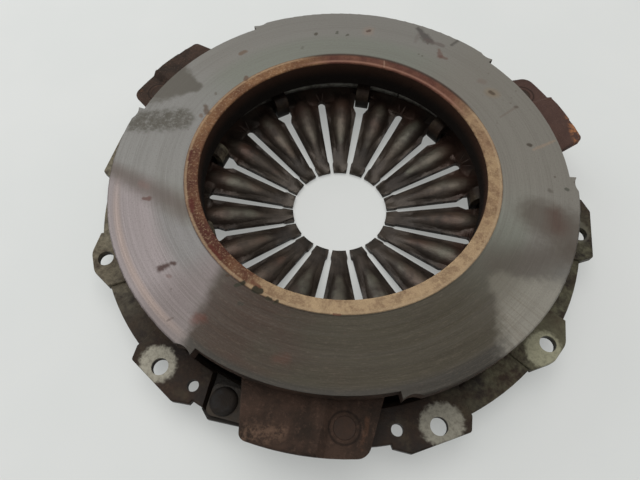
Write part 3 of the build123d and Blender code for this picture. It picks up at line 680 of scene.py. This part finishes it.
steel = spring.mix(spring.math("MULTIPLY", red_root, 0.6), steel, tone(70, 47, 38))
bulge_half = spring.ease(spring.radius, 0.044, 0.066, 0.0030, 0.0066)
dome = spring.square(spring.math("DIVIDE", aside, bulge_half))
dome = spring.either(spring.inverse(dome), 0.0)
dome = spring.both(dome, spring.between(spring.radius, 0.046, 0.0785, 0.007))
rubbed = spring.noise(70, 4.0, 0.6, low=0.34, high=0.62)
ragged_dome = spring.math("ADD", dome, spring.wobble(110, 0.14))
# rubbed wear and painted highlight: the crest of each bulge is rubbed, and a grey-green shine is
# painted on it
crest_wear_and_highlight = spring.both(spring.ease(ragged_dome, 0.35, 1.0), rubbed)
crest_wear_and_highlight_colour = spring.mix(spring.noise(26, 2.0), tone(98, 96, 84), tone(88, 64, 53))
steel = spring.mix(spring.math("MULTIPLY", crest_wear_and_highlight, 0.65), steel, crest_wear_and_highlight_colour)
tips = spring.inverse(spring.ease(spring.radius, TIP_R + 0.0005, TIP_R + 0.007))
steel = spring.mix(spring.math("MULTIPLY", tips, 0.5), steel, tone(82, 74, 66))
spring.set(Base_Color=steel)
spring.set(Roughness=spring.ease(rubbed, 0.0, 1.0, 0.55, 0.38))
spring.bump(((dome, 4.6), (steel_clouds, 0.5), (spring.noise(520, 4.0, 0.7), 0.3)), depth=0.0002)
dress(["spring_disc"], spring)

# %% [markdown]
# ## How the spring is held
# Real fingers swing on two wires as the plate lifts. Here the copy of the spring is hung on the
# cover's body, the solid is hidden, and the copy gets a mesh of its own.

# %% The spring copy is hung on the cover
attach(spring_disc, "cover")
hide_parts("diaphragm_spring")
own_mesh(spring_disc)

# %% [markdown]
# ## Drive straps, wires and rivets
# Three packs of thin leaves pull the plate round and let it lift. The real leaves bend; here each
# is a copy of its solid, cut across into short rows, and left straight.

# %% Drive strap leaves
ROWS = 8
leaves = []
for pack in range(1, 4):
    start = middle(f"cover_rivet_{pack}")
    end = middle(f"lug_rivet_{pack}")
    for level in range(1, 4):
        node = f"drive_strap_{pack}_leaf_{level}"
        leaf = skin_of(node, f"strap_{pack}_leaf_{level}")
        bpy.ops.object.mode_set(mode="EDIT")
        for row in range(1, ROWS):
            cut = start.lerp(end, row / ROWS)
            bpy.ops.mesh.select_all(action="SELECT")
            bpy.ops.mesh.bisect(plane_co=cut, plane_no=end - start)
        bpy.ops.object.mode_set(mode="OBJECT")
        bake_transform(leaf)
        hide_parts(node)
        leaves.append(leaf.name)
print("leaves:", len(leaves))

# %% [markdown]
# ## Finishes of the small steel pieces
# Straps, wires and rivets differ only in how dark, metallic and rough they are, so one function
# makes all four finishes. Separate networks would say the same thing four times.

# %% Finishes of the small steel pieces
def plain_steel(name, dark, light, metallic, roughness):
    """Dark steel with cloudy rust, for straps, wires and rivets."""
    finish = Finish(name, metallic, roughness)
    finish.shader.inputs["Specular IOR Level"].default_value = 0.2
    dirt = finish.noise(130, 6.0, 0.65)
    finish.set(Base_Color=finish.mix(dirt, dark, light))
    finish.set(Roughness=finish.ease(dirt, 0.0, 1.0, roughness - 0.1, roughness + 0.12))
    finish.bump(((dirt, 0.7), (finish.noise(800, 3.0), 0.3)), depth=0.0002)
    return finish


straps = plain_steel("dark_strap_steel", tone(30, 26, 22), tone(58, 50, 42), 0.3, 0.5)
wires = plain_steel("bare_wire", tone(64, 61, 55), tone(118, 116, 108), 0.4, 0.45)
heads = plain_steel("dark_rivet_steel", tone(20, 16, 14), tone(36, 30, 25), 0.0, 0.7)
flush = plain_steel("rusty_rivet_steel", tone(42, 33, 27), tone(60, 46, 38), 0.0, 0.8)
dress(leaves, straps)
dress(["pivot_wire_front", "pivot_wire_rear"], wires)
dress([name for name in nodes if name.startswith("cover_rivet")], heads)
dress([name for name in nodes if name.startswith("lug_rivet")], flush)

# %% [markdown]
# ## Floor, light and camera
# The part rests on a pale floor, on the tips of its fingers. What the camera and shiny metal see of
# the floor glows a little, so it stays pale while the part still casts a soft shadow on it.

# %% Floor
floor_size = 6.0
bpy.ops.object.select_all(action="DESELECT")
bpy.ops.mesh.primitive_plane_add(size=floor_size, location=(0, 0, floor_z))
floor = bpy.context.active_object
floor.name = "floor"
bpy.ops.object.transform_apply(location=True, rotation=False, scale=False)
paper = Finish("pale_floor", metallic=0.0, roughness=0.75)
paper.set(Base_Color=paper.mix(paper.noise(9, 3.0), tone(217, 219, 216), tone(221, 222, 219)))
# what is seen straight or in metal keeps part of its full brightness, so the shadow stays soft
rays = paper.node("ShaderNodeLightPath").outputs
seen = paper.either(rays["Is Camera Ray"], rays["Is Glossy Ray"])
glow = paper.node("ShaderNodeEmission", (*tone(219, 221, 218), 1.0), 1.0)
GLOW_SHARE = 0.4
share = paper.math("MULTIPLY", seen, GLOW_SHARE)
both = paper.node("ShaderNodeMixShader", share, paper.shader.outputs[0], glow.outputs[0])
paper.feed(paper.tree.nodes["Material Output"].inputs["Surface"], both.outputs[0])
dress(["floor"], paper)

# %% [markdown]
# ## Light in the room
# A wide ceiling lamp keeps shadows soft, and a lamp at the side gives the ring its sheen, as a
# window would. The world has two parts: dim light for the part, and a pale backdrop that only the
# camera and shiny metal see. So the background is pale with no extra light on the part.

# %% Lights
world = bpy.data.worlds.new("room")
world.use_nodes = True
room = world.node_tree
light = room.nodes["Background"]
light.inputs["Color"].default_value = (0.93, 0.95, 1.0, 1.0)
ROOM_STRENGTH = 0.36
light.inputs["Strength"].default_value = ROOM_STRENGTH
backdrop = room.nodes.new("ShaderNodeBackground")
backdrop.inputs["Color"].default_value = (*tone(219, 221, 218), 1.0)
rays = room.nodes.new("ShaderNodeLightPath").outputs
seen = room.nodes.new("ShaderNodeMath")
seen.operation = "MAXIMUM"
mixed = room.nodes.new("ShaderNodeMixShader")
room.links.new(rays["Is Camera Ray"], seen.inputs[0])
room.links.new(rays["Is Glossy Ray"], seen.inputs[1])
room.links.new(seen.outputs[0], mixed.inputs[0])
room.links.new(light.outputs[0], mixed.inputs[1])
room.links.new(backdrop.outputs[0], mixed.inputs[2])
room.links.new(mixed.outputs[0], room.nodes["World Output"].inputs["Surface"])
bpy.context.scene.world = world
print("room lit, with a pale backdrop behind the floor")


def soft_light(name, place, target, width, watts, colour):
    """A square area light that faces a target."""
    data = bpy.data.lights.new(name, "AREA")
    data.size = width
    data.energy = watts
    data.color = colour
    lamp = bpy.data.objects.new(name, data)
    lamp.location = place
    lamp.rotation_euler = (Vector(target) - Vector(place)).to_track_quat("-Z", "Y").to_euler()
    bpy.context.scene.collection.objects.link(lamp)
    print(name, watts, "W")


soft_light("ceiling", (-0.15, 0.25, 1.6), (0, 0, 0), 1.5, 17, (1.0, 0.99, 0.97))
soft_light("window", (-1.3, 0.7, 0.9), (0, 0, 0), 0.9, 7.5, (0.95, 0.98, 1.0))

# %% [markdown]
# ## The camera
# It looks down steeply from the side of one lug, and close enough for the near lug to look larger
# than the far ones. A place, a downward angle and a heading say all of that, with no target object.

# %% Camera
CAMERA_PLACE = (20.3 * MM, -158.8 * MM, 237.3 * MM)
CAMERA_DOWN = 61.64
CAMERA_HEADING = 11.65
SENSOR_MM = 36
LENS_MM = 27.25
camera_data = bpy.data.cameras.new("camera")
camera_data.sensor_width = SENSOR_MM
camera_data.lens = LENS_MM
camera_data.clip_start = 0.01
camera = bpy.data.objects.new("camera", camera_data)
camera.location = CAMERA_PLACE
camera.rotation_euler = (radians(90 - CAMERA_DOWN), 0, radians(CAMERA_HEADING))
bpy.context.scene.collection.objects.link(camera)
bpy.context.scene.camera = camera
bpy.context.scene.view_settings.view_transform = "Standard"
print("camera looks down by", CAMERA_DOWN, "degrees")
